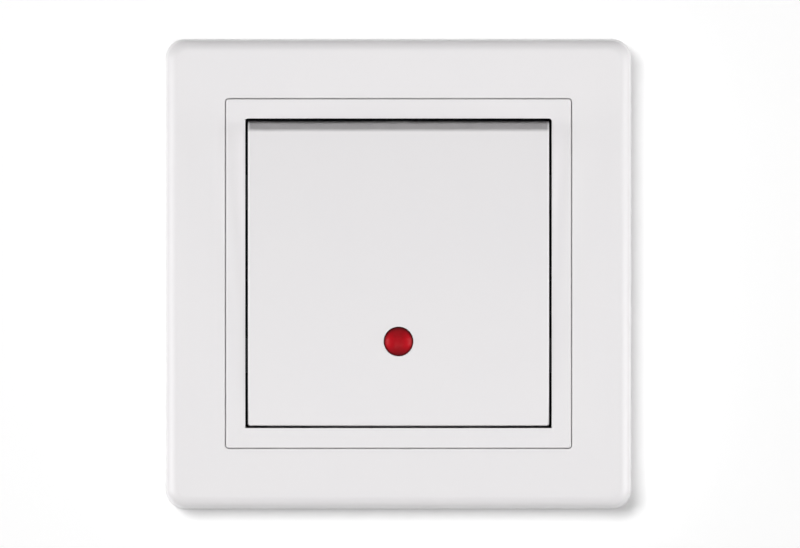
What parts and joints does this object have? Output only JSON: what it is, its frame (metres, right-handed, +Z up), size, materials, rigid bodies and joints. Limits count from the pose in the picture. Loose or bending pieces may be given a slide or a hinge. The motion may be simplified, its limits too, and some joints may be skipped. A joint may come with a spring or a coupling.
{
  "type": "rocker light switch",
  "caption": "Flush wall rocker switch with a red indicator: square frame, clip-on ring, wide rocker, steel plate, and a base with claws and screw terminals behind the wall.",
  "frame": {"origin": "centre of the box screw pattern, on the rear face of the support plate, which lies in the wall plane", "axes": "+X to the right as the user faces the switch, +Z up, +Y into the wall, so the front looks along -Y"},
  "size_m": [0.08, 0.0378, 0.0808],
  "materials": {
    "white_plastic": "fine satin moulding",
    "inner_plastic": "natural moulding",
    "base_plastic": "moulded, fine grain",
    "zinc_steel": "zinc plated sheet and screws",
    "brass_strip": "stamped strip",
    "silver_contact": "silver alloy",
    "red_lens": "clear red moulding",
    "lamp_glass": "clear tube",
    "resistor_body": "lacquered"
  },
  "bodies": {
    "switch": {"cover_frame": "white_plastic", "centre_ring": "white_plastic", "support_plate": "zinc_steel", "base_housing": "base_plastic", "base_back": "base_plastic", "terminal_barriers": "base_plastic", "front_cover": "inner_plastic", "housing_screws": "zinc_steel", "line_terminal": "brass_strip", "load_terminal": "brass_strip", "line_clamp": "brass_strip", "load_clamp": "brass_strip", "terminal_screws": "zinc_steel", "fixed_contact": "silver_contact", "lamp_holder": "inner_plastic", "neon_lamp": "lamp_glass", "lamp_electrodes": "zinc_steel", "resistor": "resistor_body", "lamp_leads": "zinc_steel"},
    "rocker": {"rocker": "white_plastic", "indicator_lens": "red_lens", "rocker_cradle": "inner_plastic", "plunger_spring": "zinc_steel"},
    "plunger": {"plunger": "base_plastic"},
    "contact": {"contact_rocker": "brass_strip", "moving_contact": "silver_contact"},
    "left_screw": {"claw_screw_left": "zinc_steel"},
    "right_screw": {"claw_screw_right": "zinc_steel"},
    "left_nut": {"claw_nut_left": "zinc_steel"},
    "right_nut": {"claw_nut_right": "zinc_steel"},
    "left_claw": {"claw_left": "zinc_steel"},
    "right_claw": {"claw_right": "zinc_steel"}
  },
  "joints": [
    {"name": "rocker_tilt", "type": "hinge", "parent": "switch", "child": "rocker", "pos_m": [0, -0.001, 0], "axis": [1, 0, 0], "range_deg": [-9, 0]},
    {"name": "plunger_slide", "type": "slide", "parent": "rocker", "child": "plunger", "axis": [0, -0.9969, -0.0785], "range_m": [0, 0.0008], "stiffness_N_per_m": 1200, "deforming": ["plunger_spring"]},
    {"name": "contact_tilt", "type": "hinge", "parent": "switch", "child": "contact", "pos_m": [0, 0.014, 0], "axis": [1, 0, 0], "range_deg": [0, 20]},
    {"name": "left_nut_rise", "type": "slide", "parent": "switch", "child": "left_nut", "axis": [0, -1, 0], "range_m": [0, 0.0065]},
    {"name": "left_claw_screw", "type": "hinge", "parent": "switch", "child": "left_screw", "pos_m": [-0.024, 0, 0], "axis": [0, 1, 0], "range_deg": [0, 4690]},
    {"name": "left_claw_spread", "type": "slide", "parent": "switch", "child": "left_claw", "axis": [-0.4695, -0.8829, 0], "range_m": [0, 0.00739]},
    {"name": "right_nut_rise", "type": "slide", "parent": "switch", "child": "right_nut", "axis": [0, -1, 0], "range_m": [0, 0.0065]},
    {"name": "right_claw_screw", "type": "hinge", "parent": "switch", "child": "right_screw", "pos_m": [0.024, 0, 0], "axis": [0, 1, 0], "range_deg": [0, 4690]},
    {"name": "right_claw_spread", "type": "slide", "parent": "switch", "child": "right_claw", "axis": [0.4695, -0.8829, 0], "range_m": [0, 0.00739]}
  ],
  "couplings": [
    {"joint": "contact_tilt", "follows": "rocker_tilt", "ratio": -2.2222},
    {"joint": "left_claw_screw", "follows": "left_nut_rise", "rad_per_m": 12566},
    {"joint": "left_claw_spread", "follows": "left_nut_rise", "ratio": 1.1326},
    {"joint": "right_claw_screw", "follows": "right_nut_rise", "rad_per_m": 12566},
    {"joint": "right_claw_spread", "follows": "right_nut_rise", "ratio": 1.1326}
  ]
}
